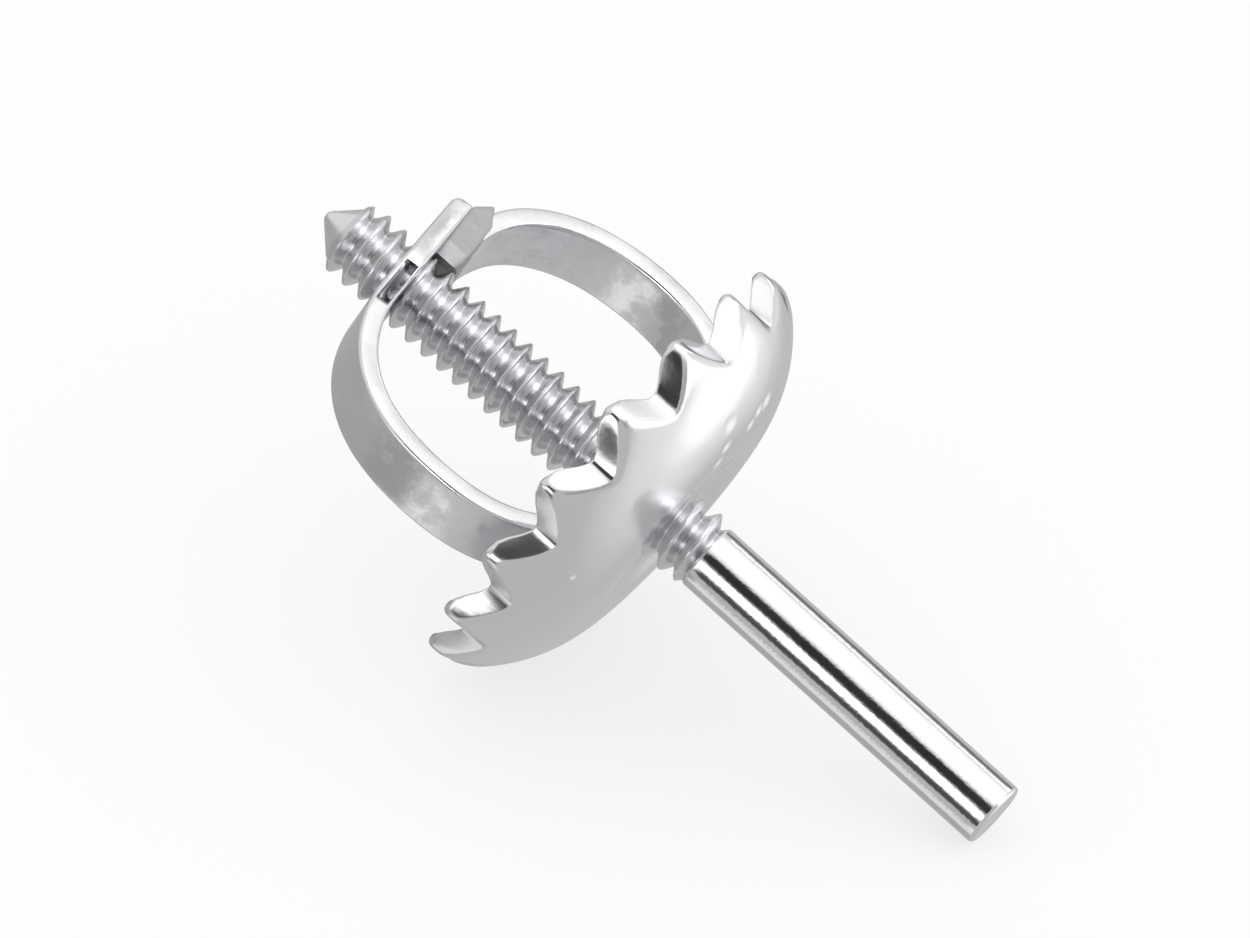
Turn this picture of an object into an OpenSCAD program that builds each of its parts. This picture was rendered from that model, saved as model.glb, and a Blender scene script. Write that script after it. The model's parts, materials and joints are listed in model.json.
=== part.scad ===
// Threaded earring post with a screw-on back.
// The post is one wire: plain shank, rolled right-hand thread, cone tip. The back is a toothed cup with a
// bent strap, the bow, soldered into it. Lengths are in millimetres.
// Pieces are drawn upright, with the post's axis on Z and its flat end at zero, and lying() then lays the
// whole part down on its flat end and two teeth, as it lies on a table.

/* [Post] */
// Diameter of the plain shank
shank_d = 0.90; // [0.82:0.01:0.96]
// Length of the plain shank, from the flat end to the thread
shank_l = 4.87; // [3.5:0.01:6.0]
// Length of the whole post
post_l = 11.32; // [10.6:0.01:13]
// Length of the cone at the tip, without its round point
cone_l = 0.32; // [0.20:0.01:0.44]
// Diameter at the foot of the cone
cone_d = 0.80; // [0.74:0.01:0.86]
// Radius of the round point
point_r = 0.12; // [0.08:0.01:0.16]
// Bevel round the flat end
end_bevel = 0.06; // [0.02:0.01:0.12]

/* [Thread] */
// Diameter over the crests
crest_d = 1.04; // [1.00:0.01:1.08]
// Diameter at the roots
root_d = 0.73; // [0.68:0.01:0.80]
// Distance from one crest to the next
pitch = 0.267; // [0.23:0.001:0.31]
// Length over which the thread fades into the shank
runout_l = 0.22; // [0.10:0.01:0.40]
// Gap all round between the thread and the tapped holes
thread_gap = 0.03; // [0.02:0.005:0.05]
// Turn of the thread about the post, in degrees
thread_turn = 225; // [0:1:359]

/* [Cup] */
// How far the back is wound off the end of the thread
nut_lift = 0.31; // [0.10:0.01:3.00]
// Diameter over the teeth
cup_d = 6.38; // [6.00:0.01:6.70]
// Height of the cup, from its lowest ring to the tops of the teeth
cup_h = 1.385; // [1.25:0.005:1.50]
// Height at which the wall reaches the teeth's full diameter
wall_rise = 1.02; // [0.85:0.01:1.15]
// Thickness of the sheet
cup_t = 0.28; // [0.22:0.01:0.34]
// Diameter of the lowest ring, on which the cup would stand
ring_d = 2.60; // [2.30:0.01:3.00]
// Height of the middle of the floor over the ring
dimple = 0.12; // [0.04:0.01:0.18]
// Diameter of the flat round the cup's hole
flat_d = 1.40; // [1.24:0.02:1.60]
// Number of teeth
teeth = 16; // [12:1:20]
// Depth of the V between two teeth
tooth_depth = 0.25; // [0.12:0.01:0.34]
// Width of the blunt top of a tooth
tooth_top = 0.16; // [0.06:0.01:0.24]
// Turn of the teeth about the post, in degrees
tooth_turn = -1.75; // [-11:0.25:11]

/* [Bow] */
// Height of the bow, from its foot to the top of the strap over the hole
bow_h = 4.37; // [3.90:0.01:4.80]
// Reach of the bow from the post, on the side of the round shoulder
reach_round = 2.54; // [2.20:0.01:2.70]
// Reach of the bow from the post, on the side of the lap
reach_lap = 2.82; // [2.50:0.01:2.92]
// Height of the widest place over the foot, on the side of the round shoulder
wide_round = 2.10; // [1.80:0.01:2.40]
// Height of the widest place over the foot, on the side of the lap
wide_lap = 1.81; // [1.60:0.01:2.20]
// Width of the strap
strap_w = 0.925; // [0.84:0.005:1.10]
// Thickness of the strap
strap_t = 0.28; // [0.24:0.01:0.32]
// Diameter of the round eye that the metal spreads into round each hole
eye_d = 1.20; // [1.17:0.01:1.36]
// Rise of the strap's top towards the lap, in degrees
top_slope = 6.2; // [2:0.1:8]
// Distance from the post's axis to the outer end of the lap
lap_end = 1.38; // [1.20:0.01:1.50]
// Length of the strap's other end under the lap
lap_l = 0.75; // [0.55:0.01:0.80]
// Radius of the rounded end of the strap
lap_round = 0.12; // [0.04:0.01:0.18]
// Width of the window where the tapped hole breaks through the eye
window_w = 0.60; // [0.30:0.01:0.70]
// Height of the window
window_h = 0.18; // [0.08:0.01:0.21]
// Flat that is filed on the bow's foot before soldering
foot_flat = 0.05; // [0.02:0.01:0.08]
// Turn of the bow about the post, in degrees
bow_turn = 99.8; // [90:0.1:112]
// Turn of the window from the bow's lap side, in degrees
window_turn = -136.4; // [-150:0.1:-120]

/* [Solder] */
// Thickness of the solder under the bow's foot
foot_solder_t = 0.03; // [0.02:0.01:0.08]
// Diameter of the pool of solder on the cup's floor
foot_solder_d = 2.00; // [1.60:0.01:2.30]
// Thickness of the solder in the lap
seam_solder_t = 0.03; // [0.02:0.01:0.06]
// Depth of the solder that fills the corner between the lap and the end of the strap under it
corner_solder_d = 0.26; // [0.10:0.01:0.30]
// Length of the solder that runs on from the lap's end down the outside of the strap
lap_solder_l = 0.30; // [0.12:0.01:0.40]

/* [Hidden] */

// Facets of the thread in a turn, steps along the cup's floor and wall, and facets of round solids
thread_facets = 24;
floor_steps = 6;
wall_steps = 10;
$fn = 96;

// Heights along the post, from its flat end
cone_z = post_l - cone_l - point_r * (1 - sin(cone_angle()));
nut_z = shank_l + runout_l + nut_lift;
floor_z = nut_z + dimple + cup_t;
foot_z = floor_z + foot_solder_t;
top_z = foot_z + bow_h;

// Shape of the cup's wall, an arc that leaves the ring level and reaches the teeth's diameter at wall_rise
wall_run = (cup_d - ring_d) / 2;
wall_r = (pow(wall_run, 2) + pow(wall_rise, 2)) / (2 * wall_rise);

// Bore of the solder, wide of the thread, and the hair's breadth by which the pool's top stays clear of
// the bow's foot
clear_d = crest_d + 4 * thread_gap;
foot_gap = 0.002;

// Radius of the threaded blank where it meets the shank, just inside the shank
blank_r = shank_d / 2 - 0.01;
// Length of threaded blank that is sunk into the shank
sunk_l = 0.40;

// Half the angle of the V between two teeth, seen from the post's axis
notch_angle = 180 / teeth - asin(tooth_top / cup_d);

// How the part lies: the turn about the post that brings the middle of a V down, the slope of the post, the
// height of its flat end, and the shift that centres it
lowest_v = round((180 - tooth_turn) * teeth / 360 - 0.5) + 0.5;
rest_turn = 180 - tooth_turn - lowest_v * 360 / teeth;
rest_angle = atan2((cup_d * cos(notch_angle) - shank_d) / 2, nut_z + wall_rise - end_bevel);
rest_lift = shank_d / 2 * cos(rest_angle) - end_bevel * sin(rest_angle);
rest_shift = (post_l * cos(rest_angle) - (shank_d / 2 - end_bevel) * sin(rest_angle)) / 2;

// Where the end of the strap under the lap lies, along the lap from the post's axis
tail_x = lap_end - lap_l;
// How square the strap's oval is: 2 is an ellipse, and more is squarer
squareness = 2.45;

// Steepness of the chamfer that takes the crests down to the cone
chamfer_rise = 3;

// Half the angle that the cone's side leans from the post's axis
function cone_angle() = atan2(cone_d / 2 - point_r, cone_l);

// Height and radius of a point on the thread: its phase within one turn decides crest, root or flank.
// The thread fades into the blank over the run-out, and the cone's chamfer takes off its last crests.
phases = [0, 0.16, 0.50, 0.62];
function form(j, grow) = (j < 2 ? root_d / 2 : crest_d / 2) + grow;
function fade(z) = min(1, max(0, (z - shank_l) / runout_l));
function chamfer(z) = cone_d / 2 + chamfer_rise * max(0, cone_z - z);
function thread_z(i, j, first) = pitch * (first + i / thread_facets + phases[j]);
function thread_r(z, j, grow) =
    grow > 0 ? form(j, grow) : min(blank_r + (form(j, 0) - blank_r) * fade(z), chamfer(z));
function at(r, i, z) =
    [r * cos(360 * i / thread_facets + thread_turn), r * sin(360 * i / thread_facets + thread_turn), z];

// A threaded rod as one closed solid. Its side is a helical strip with len(phases) points to a turn's
// profile, and a level ring closes it below and above. rings holds the [radius, height] of the rings over
// the thread, and the last ring is closed by a flat face or a point.
module thread(first, turns, grow, low, rings, point_z) {
    n = thread_facets;
    m = len(phases);
    last = turns * n;
    strip = [for (i = [0:last]) for (j = [0:m - 1])
        let (z = thread_z(i, j, first)) at(thread_r(z, j, grow), i, z)];
    edge = [for (i = [last + 1:last + n])
        let (z = thread_z(i, 0, first)) at(thread_r(z, 0, grow), i, z)];
    below = [for (i = [0:n - 1]) at(low[0], i, low[1])];
    above = [for (ring = rings) for (i = [0:n - 1]) at(ring[0], i, ring[1])];
    tip = point_z > 0 ? [[0, 0, point_z]] : [];

    e0 = len(strip);
    b0 = e0 + len(edge);
    a0 = b0 + n;
    t0 = a0 + len(above);
    function p(i, j) = j == m ? root(i + n) : i * m + j;
    function root(i) = i <= last ? i * m : e0 + i - last - 1;
    function b(i) = b0 + i % n;
    function a(k, i) = a0 + k * n + i % n;

    side = [for (i = [0:last - 1]) for (j = [0:m - 1]) for (half = [0, 1])
        half == 0 ? [p(i, j), p(i + 1, j + 1), p(i + 1, j)] : [p(i, j), p(i, j + 1), p(i + 1, j + 1)]];
    start = [for (i = [0:n - 2]) for (half = [0, 1])
        half == 0 ? [b(i), root(i + 1), b(i + 1)] : [b(i), root(i), root(i + 1)]];
    start_seam = concat([[b(n - 1), root(n - 1), b(0)], [root(n - 1), root(0), b(0)]],
        [for (j = [0:m - 1]) [root(n - 1), p(0, j + 1), p(0, j)]]);
    finish_seam = concat([[root(last + 1), a(0, 0), a(0, 1)], [root(last + 1), p(last, m), a(0, 0)]],
        [for (j = [0:m - 1]) [root(last + 1), p(last, j), p(last, j + 1)]]);
    finish = [for (i = [1:n - 1]) for (half = [0, 1])
        half == 0 ? [root(last + i), a(0, i), a(0, i + 1)]
                  : [root(last + i), a(0, i + 1), root(last + i + 1)]];
    cone = [for (k = [0:1:len(rings) - 2]) for (i = [0:n - 1]) for (half = [0, 1])
        half == 0 ? [a(k, i), a(k + 1, i + 1), a(k, i + 1)] : [a(k, i), a(k + 1, i), a(k + 1, i + 1)]];
    top = len(rings) - 1;
    lid = point_z > 0 ? [for (i = [0:n - 1]) [a(top, i), t0, a(top, i + 1)]]
                      : [[for (i = [n - 1:-1:0]) a(top, i)]];
    foot = [[for (i = [0:n - 1]) b(i)]];
    polyhedron(concat(strip, edge, below, above, tip),
        concat(side, start, start_seam, finish_seam, finish, cone, lid, foot), convexity = 10);
}

// The tap: a threaded rod that is wider by the gap all round, from below z_low to above z_high
module tap(z_low, z_high) {
    first = floor(z_low / pitch) - 2;
    turns = ceil(z_high / pitch) - first + 1;
    core = root_d / 2 + thread_gap;
    thread(first, turns, thread_gap, [core, pitch * (first - 1)], [[core, pitch * (first + turns + 2)]], 0);
}

// Lays upright pieces down as they rest
module lying() translate([rest_shift, 0, rest_lift]) rotate([0, rest_angle - 90, 0]) rotate(rest_turn)
    children();

// The post: plain shank, threaded length and cone, all one wire
module post() color("silver") lying() {
    rotate_extrude() polygon([[0, 0], [shank_d / 2 - end_bevel, 0], [shank_d / 2, end_bevel],
        [shank_d / 2, shank_l], [0, shank_l]]);
    threaded_end();
}

// The thread and the cone, with the thread's first turns sunk in the shank
module threaded_end() {
    lean = cone_angle();
    first = round((shank_l - sunk_l) / pitch);
    turns = floor(cone_z / pitch) - first - 1;
    round_z = post_l - point_r;
    rings = concat([[cone_d / 2, cone_z]], [for (k = [0:3])
        let (a = lean + k * (90 - lean) / 4) [point_r * cos(a), round_z + point_r * sin(a)]]);
    thread(first, turns, 0, [blank_r, pitch * (first - 0.5)], rings, post_l);
}

// Outline of the sheet that the cup is pressed from, cut through its middle, with its edge eased on top
module sheet_outline() {
    r = cup_d / 2;
    in_r = wall_r - cup_t;
    out_a = acos((wall_r - wall_rise) / wall_r);
    in_a = acos((wall_r - cup_h) / in_r);
    in_edge = wall_point(in_r, in_a)[0];
    polygon(concat(
        [[0, dimple]],
        [for (k = [0:floor_steps]) floor_point(k / floor_steps, 0)],
        [for (k = [1:wall_steps]) wall_point(wall_r, k * out_a / wall_steps)],
        [[r, (wall_rise + cup_h) / 2], [r - (r - in_edge) / 4, cup_h - cup_t / 4],
         [(r + in_edge) / 2, cup_h]],
        [for (k = [wall_steps:-1:1]) wall_point(in_r, k * in_a / wall_steps)],
        [for (k = [floor_steps:-1:0]) floor_point(k / floor_steps, cup_t)],
        [[0, dimple + cup_t]]));
}
function wall_point(r, a) = [ring_d / 2 + r * sin(a), wall_r - r * cos(a)];
// The floor swells gently from the ring to the flat round the hole, f going from the flat to the ring
function floor_point(f, up) = [flat_d / 2 + (ring_d - flat_d) / 2 * f, dimple * (1 + cos(180 * f)) / 2 + up];

// Outline of the V between two teeth, seen along the post. It opens out past the teeth on both sides.
module notch_outline() {
    r = cup_d / 2;
    low = r - tooth_depth;
    open = 1.2;
    x = low + open * (r * cos(notch_angle) - low);
    y = open * r * sin(notch_angle);
    polygon([[low, 0], [x, -y], [r + tooth_depth, -y], [r + tooth_depth, y], [x, y]]);
}

// The cup: a dished sheet with a toothed edge and a tapped hole
module cup() color("gainsboro") lying() difference() {
    translate([0, 0, nut_z]) difference() {
        rotate_extrude() sheet_outline();
        for (k = [0:teeth - 1]) rotate(tooth_turn + (k + 0.5) * 360 / teeth)
            translate([0, 0, wall_rise / 2]) linear_extrude(cup_h) notch_outline();
    }
    tap(nut_z, floor_z);
    cylinder(d = clear_d, h = nut_z + dimple / 2 + cup_t / 4);
}

// The pool of solder between the cup's floor and the bow's foot
module foot_solder() color("darkgray") lying() translate([0, 0, nut_z]) difference() {
    pool_h = foot_z - nut_z - foot_gap;
    rotate_extrude() intersection() {
        polygon(concat([[0, dimple + cup_t]], [for (k = [0:floor_steps]) floor_point(k / floor_steps, cup_t)],
            [[ring_d / 2, pool_h], [0, pool_h]]));
        square([foot_solder_d / 2, foot_z]);
    }
    cylinder(d = clear_d, h = foot_z);
}

// A closed oval through four quarters, each with its own reach and height, shrunk by t all round
module oval(t) {
    steps = 18;
    function bend(v) = sign(v) * pow(abs(v), 2 / squareness);
    function lobe(a) = let (right = cos(a) > 0, up = sin(a) > 0,
        wide = right ? wide_lap : wide_round,
        reach = (right ? reach_lap : reach_round) - t,
        rise = (up ? bow_h - wide : wide + foot_flat) - t)
        [reach * bend(cos(a)), wide + rise * bend(sin(a))];
    polygon([for (k = [0:4 * steps - 1]) lobe((k + 0.5) * 90 / steps)]);
}

// Height of the strap's outside at a distance from the post, above the widest place on the lap's side
function outside_h(x) =
    wide_lap + (bow_h - wide_lap) * pow(1 - pow(x / reach_lap, squareness), 1 / squareness);

// Side of the sloping top: everything under a line that lies d below the top of the strap
module under_top(d) {
    far = 2 * bow_h;
    translate([0, bow_h - d]) rotate(top_slope) translate([-far, -far]) square([2 * far, far]);
}

// The strap's top, a straight run that ends in the lap, lowered by d. It starts within the round shoulder.
module lap_run(d) {
    from = -0.9;
    translate([0, bow_h]) rotate(top_slope) translate([0, -d]) {
        translate([from, -strap_t]) square([lap_end - lap_round - from, strap_t]);
        translate([from, -strap_t]) square([lap_end - from, strap_t - lap_round]);
        translate([lap_end - lap_round, -lap_round]) circle(lap_round);
    }
}

// The loop's side outline before the lap is parted
module loop_outline() difference() {
    intersection() {
        oval(0);
        under_top(0);
        translate([-bow_h, 0]) square(2 * bow_h);
    }
    intersection() {
        oval(strap_t);
        under_top(strap_t);
    }
}

// A point at a distance along the lap and a depth below its top
function on_lap(x, d) =
    [x * cos(top_slope) + d * sin(top_slope), bow_h + x * sin(top_slope) - d * cos(top_slope)];

// The end of the strap that goes in under the lap
module tail_outline() translate([0, bow_h]) rotate(top_slope)
    translate([tail_x, -2 * strap_t - seam_solder_t]) square([lap_l - strap_t, strap_t]);

// The loop below the film of solder, beyond the end of the strap
module loop_under_lap() intersection() {
    difference() {
        loop_outline();
        lap_run(seam_solder_t);
    }
    translate([0, bow_h]) rotate(top_slope) translate([tail_x, -bow_h]) square(2 * bow_h);
}

// Solder in the corner between the lap and the end of the strap
module corner_fill() polygon([on_lap(0, strap_t), on_lap(tail_x, strap_t),
    on_lap(tail_x, strap_t + seam_solder_t + corner_solder_d)]);

// All the solder in the lap: the corner, the film between the strap's two ends, and what runs out under
// the lap's end down the outside of the strap
module seam_outline() {
    far_x = on_lap(lap_end, strap_t)[0] + lap_solder_l;
    difference() {
        polygon([on_lap(0, strap_t), on_lap(tail_x, strap_t + seam_solder_t + corner_solder_d),
            on_lap(tail_x + seam_solder_t, strap_t + 2 * seam_solder_t),
            [far_x, outside_h(far_x) - seam_solder_t / 3], on_lap(lap_end, strap_t)]);
        loop_under_lap();
        tail_outline();
    }
}

// The whole strap from the side, with its two ends parted by the solder
module strap_outline() {
    difference() {
        loop_outline();
        lap_run(seam_solder_t);
        lap_run(0);
        corner_fill();
    }
    tail_outline();
    lap_run(0);
}

// Places what stands on the bow's foot and turns with it
module on_foot() translate([0, 0, foot_z]) rotate(bow_turn) children();

// The strap's width of an outline
module strap(w) rotate([90, 0, 0]) linear_extrude(w, center = true) children();

// The bow: the strap with its round eyes, tapped top and bottom
module bow() color("whitesmoke") lying() difference() {
    on_foot() {
        strap(strap_w) strap_outline();
        intersection() {
            strap(eye_d) strap_outline();
            cylinder(d = eye_d, h = 2 * bow_h);
        }
    }
    tap(foot_z, foot_z + strap_t);
    tap(top_z - 2 * strap_t, top_z + strap_t);
    on_foot() window();
}

// The window where the tap breaks through the eye, seen from the side
module window() translate([0, 0, bow_h - strap_t / 2]) rotate([0, -top_slope, 0]) rotate(window_turn)
    translate([0, -window_w / 2, -window_h / 2]) cube([eye_d, window_w, window_h]);

// The solder in the lap, clear of the thread
module seam_solder() color("darkgray") lying() on_foot() difference() {
    strap(strap_w) seam_outline();
    cylinder(d = clear_d, h = 2 * bow_h);
}

post();
cup();
bow();
foot_solder();
seam_solder();
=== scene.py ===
# %% [markdown]
# # A threaded earring post with its screw-on back
#
# The part is a jewellery finding of polished white metal, about 11 mm long. A round wire, the post, has a
# plain shank, a rolled thread and a cone tip. A small toothed cup rides on the thread, and a flat strap
# bent to a loop, the bow, is soldered into the cup as the finger grip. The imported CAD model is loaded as
# the fixed frame first. It says how big everything is, where it lies and what moves with what, and the
# pieces made here only replace its plain solids with finished metal.

# %% Load the frame
import json
import math

import bpy
from mathutils import Matrix, Vector


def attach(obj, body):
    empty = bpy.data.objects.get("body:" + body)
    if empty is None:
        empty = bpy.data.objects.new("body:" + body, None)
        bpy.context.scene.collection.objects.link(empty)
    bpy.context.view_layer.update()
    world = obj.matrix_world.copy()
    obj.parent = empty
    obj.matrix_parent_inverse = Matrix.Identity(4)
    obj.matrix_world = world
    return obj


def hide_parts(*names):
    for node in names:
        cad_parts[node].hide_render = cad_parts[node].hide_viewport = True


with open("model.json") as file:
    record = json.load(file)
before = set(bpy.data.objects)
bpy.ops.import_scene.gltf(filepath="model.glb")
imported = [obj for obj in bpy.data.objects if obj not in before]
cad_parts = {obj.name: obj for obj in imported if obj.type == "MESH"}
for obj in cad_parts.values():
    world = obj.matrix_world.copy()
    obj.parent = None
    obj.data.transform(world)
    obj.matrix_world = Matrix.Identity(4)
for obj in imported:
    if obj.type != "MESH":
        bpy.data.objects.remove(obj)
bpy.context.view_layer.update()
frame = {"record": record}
bpy.ops.object.select_all(action="DESELECT")

# %% [markdown]
# ## Where the post lies
#
# Each piece is modelled upright in millimetres, with the post's axis on Z and its flat end at zero,
# because turned and bent work is easiest to draw that way. Then it is laid down. The frame's mount on the
# flat end of the post gives both the place and the direction, so nothing is fitted by eye. Only the turn
# about the post is stated, which lets the cup stand on two teeth.

# %% From upright to lying
MM = 0.001
REST_TURN = math.radians(-9.5)

flat_end = next(m for m in frame["record"]["mounts"] if m["name"] == "post_face")
axis_z = -Vector(flat_end["axis"])
axis_y = Vector((0, 1, 0))
axis_x = axis_y.cross(axis_z)
LAID = Matrix((axis_x, axis_y, axis_z)).transposed().to_4x4() @ Matrix.Rotation(REST_TURN, 4, "Z")
LAID.translation = Vector(flat_end["pos_m"])
LAID_MM = LAID @ Matrix.Scale(MM, 4)
LAID_TURN = LAID.to_3x3()
print("The post rises at", round(math.degrees(math.asin(axis_z.z)), 2), "degrees")

# %% [markdown]
# ## The camera
#
# The view is a product shot with a long lens from above the right front, so the parts that recede barely
# shrink. The camera is placed by what it sees: how far the post's flat end leans towards it, which side of
# the post faces it, and how the post slants across the frame. It aims a little beside the cup, which
# brings the whole part into view.

# %% Camera
FRAME_W_PX = 1250
PX_PER_MM = 80
LENS_MM, SENSOR_MM = 1200, 36
CLIP = 100
LEAN_TO_CAMERA = math.radians(6.3)
SIDE_TO_CAMERA = math.radians(-34.2)
POST_SLANT = math.radians(42.0)
AIM_Z, AIM_RIGHT_PX, AIM_DOWN_PX = 5.785, 28.2, 39.4


def add_camera():
    """A long-lens camera, placed by the lean, the side and the slant of the post that it sees."""
    side = Vector((math.cos(SIDE_TO_CAMERA), math.sin(SIDE_TO_CAMERA), 0)) * math.cos(LEAN_TO_CAMERA)
    back = LAID_TURN @ (side - Vector((0, 0, math.sin(LEAN_TO_CAMERA))))
    along = -axis_z - back * (-axis_z).dot(back)
    along.normalize()
    across = back.cross(along)
    right = along * math.cos(POST_SLANT) + across * math.sin(POST_SLANT)
    up = back.cross(right)
    aim = LAID @ Vector((0, 0, AIM_Z * MM))
    aim += (up * AIM_DOWN_PX - right * AIM_RIGHT_PX) / PX_PER_MM * MM
    distance = LENS_MM / SENSOR_MM * FRAME_W_PX / PX_PER_MM * MM
    bpy.ops.object.camera_add()
    camera = bpy.context.object
    camera.data.lens = LENS_MM
    camera.data.sensor_width = SENSOR_MM
    camera.data.clip_start = distance / CLIP
    camera.data.clip_end = distance * CLIP
    camera.matrix_world = Matrix((right, up, back)).transposed().to_4x4()
    camera.location = aim + back * distance
    bpy.context.scene.camera = camera
    return back


to_camera = add_camera()
print("Camera elevation:", round(math.degrees(math.asin(to_camera.z)), 1), "degrees")

# %% [markdown]
# ## One piece at a time
#
# Blender's operators act on everything that is selected, so each helper first selects one piece alone. A
# finished piece has its place in its mesh and its object at the origin, so a turn is always applied.
# Modifiers are applied too, because the pieces are joined and cut as plain meshes.

# %% Helpers for one piece
MERGE_MM = 1e-5


def only(obj):
    """Selects one object alone and makes it active."""
    bpy.ops.object.select_all(action="DESELECT")
    obj.select_set(True)
    bpy.context.view_layer.objects.active = obj


def edit_all(obj):
    """Opens a piece in edit mode with all of it selected."""
    only(obj)
    bpy.ops.object.mode_set(mode="EDIT")
    bpy.ops.mesh.select_all(action="SELECT")


def face_outwards(obj):
    """Merges doubled points and turns every face outwards."""
    edit_all(obj)
    bpy.ops.mesh.remove_doubles(threshold=MERGE_MM)
    bpy.ops.mesh.normals_make_consistent(inside=False)
    bpy.ops.object.mode_set(mode="OBJECT")


def apply_place(obj):
    """Moves a piece's place, turn and scale into its mesh."""
    only(obj)
    bpy.ops.object.transform_apply(location=True, rotation=True, scale=True)


def turn_about_post(obj, angle):
    """Turns an upright piece about the post's axis."""
    obj.rotation_euler.z = angle
    apply_place(obj)


def finish_modifiers(obj):
    """Applies a piece's modifiers from the top down."""
    only(obj)
    for modifier in list(obj.modifiers):
        bpy.ops.object.modifier_apply(modifier=modifier.name)


def smooth(obj, sharp_degrees):
    """Shades a piece smooth, except along edges that are sharper than an angle."""
    only(obj)
    bpy.ops.object.shade_smooth_by_angle(angle=math.radians(sharp_degrees))
    print(obj.name, "has", len(obj.data.polygons), "faces")


# %% [markdown]
# ## From an outline to a solid
#
# Wire, solder and holes are round, so most of their shapes start as half an outline. A chain of edges is
# extruded from point to point, as by hand, and then spun about the post's axis. Solids are joined and cut
# with booleans, which need closed skins. That is why each skin is closed where it is cut off.

# %% Outlines, turned solids and booleans
START_SIZE = 0.01


def chain(name, points):
    """A chain of edges through the points. A small plane is merged to one point, which is extruded on."""
    bpy.ops.mesh.primitive_plane_add(size=START_SIZE)
    obj = bpy.context.object
    obj.name = name
    bpy.ops.object.mode_set(mode="EDIT")
    bpy.ops.mesh.merge(type="CENTER")
    bpy.ops.transform.translate(value=points[0])
    for before, after in zip(points, points[1:]):
        step = Vector(after) - Vector(before)
        bpy.ops.mesh.extrude_region_move(TRANSFORM_OT_translate={"value": step})
    bpy.ops.object.mode_set(mode="OBJECT")
    return obj


def arc(centre, radius, start, end, steps):
    """Points (radius, height) along an arc, with angles in degrees."""
    angles = [math.radians(start + (end - start) * k / steps) for k in range(steps + 1)]
    return [(centre[0] + radius * math.cos(a), centre[1] + radius * math.sin(a)) for a in angles]


def turned(name, outline, steps):
    """A turned solid from its half outline of (radius, height) points."""
    obj = chain(name, [(radius, 0, height) for radius, height in outline])
    edit_all(obj)
    bpy.ops.mesh.spin(steps=steps, angle=math.tau, center=(0, 0, 0), axis=(0, 0, 1))
    bpy.ops.object.mode_set(mode="OBJECT")
    face_outwards(obj)
    return obj


def cut_level(obj, height, keep_above):
    """Cuts a skin off level at a height and closes it there."""
    edit_all(obj)
    bpy.ops.mesh.bisect(
        plane_co=(0, 0, height), plane_no=(0, 0, 1), use_fill=True,
        clear_inner=keep_above, clear_outer=not keep_above,
    )
    bpy.ops.object.mode_set(mode="OBJECT")


def combine(obj, other, operation):
    """Joins or cuts one solid with another and takes the other away."""
    modifier = obj.modifiers.new(operation.lower(), "BOOLEAN")
    modifier.operation = operation
    modifier.solver = "MANIFOLD"
    modifier.object = other
    finish_modifiers(obj)
    bpy.data.objects.remove(other)


# %% [markdown]
# ## The thread
#
# The post's thread is rolled: hard dies press a ridge up out of the wire, so its crests and roots are
# slightly round. One pitch of its outline is wound up the post by a Screw modifier. The same outline,
# wound a little wider, makes the tap that later cuts the threaded holes, so post and back mesh wherever
# the back stands.

# %% Thread: one pitch of its outline
CREST_R = 0.52
ROOT_R = 0.365
PITCH = 0.267
# Each point is a share of the pitch up the post and a share of the way from root to crest.
PROFILE = (
    (0.00, 0.10), (0.04, 0.02), (0.08, 0.00), (0.12, 0.02), (0.16, 0.10), (0.27, 0.41), (0.38, 0.72),
    (0.49, 0.95), (0.53, 0.99), (0.56, 1.00), (0.59, 0.99), (0.63, 0.95), (0.75, 0.69), (0.87, 0.40),
)
print("Thread depth, mm:", round(CREST_R - ROOT_R, 3))

# %% Thread: winding it, and the tap
THREAD_TURN = math.radians(225)
THREAD_STEPS = 64
THREAD_GAP = 0.03


def wound_thread(name, first_turn, turns, grow):
    """A helical skin over the stated turns, counted from the post's flat end."""
    points = []
    for phase, height in PROFILE + ((1.0, PROFILE[0][1]),):
        radius = ROOT_R + (CREST_R - ROOT_R) * height + grow
        points.append((radius, 0, PITCH * (first_turn + phase)))
    obj = chain(name, points)
    screw = obj.modifiers.new("wind", "SCREW")
    screw.axis = "Z"
    screw.angle = math.tau
    screw.screw_offset = PITCH
    screw.iterations = turns
    screw.steps = THREAD_STEPS
    screw.render_steps = THREAD_STEPS
    screw.use_merge_vertices = True
    screw.merge_threshold = MERGE_MM
    finish_modifiers(obj)
    turn_about_post(obj, THREAD_TURN)
    return obj


def tap(low, high):
    """The threaded rod that cuts a tapped hole, from below low to above high."""
    first = math.floor(low / PITCH) - 1
    obj = wound_thread("tap", first, math.ceil(high / PITCH) - first + 1, THREAD_GAP)
    cut_level(obj, low - PITCH / 2, keep_above=True)
    cut_level(obj, high + PITCH / 2, keep_above=False)
    face_outwards(obj)
    return obj


print("One turn moves the back by", PITCH, "mm")

# %% [markdown]
# ## The post
#
# The real post is one wire. The thread fades out just above the shank, and the shank ends there in a soft
# shoulder, because rolling the thread thins the wire. At the tip the last crests run out into a cone with
# a round point. Shank, thread and cone are made as three closed solids and joined into one skin. Heights
# run up the post from its flat end.

# %% Post: sizes
SHANK_R = 0.45
SHANK_TOP = 4.87
POST_L = 11.32
CONE_L = 0.32
CONE_R = 0.40
ROD_TOP = POST_L - CONE_L
POST_STEPS = 128
print("Threaded length, mm:", round(ROD_TOP - SHANK_TOP, 2))

# %% Post: the thread
SUNK = 0.25
RUNOUT_GAP, RUNOUT_L = 0.02, 0.132
FADED_R = SHANK_R - 0.03
CREST_CUT_Z = ROD_TOP + 0.01
THREAD_END_Z = CREST_CUT_Z - 0.03


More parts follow.
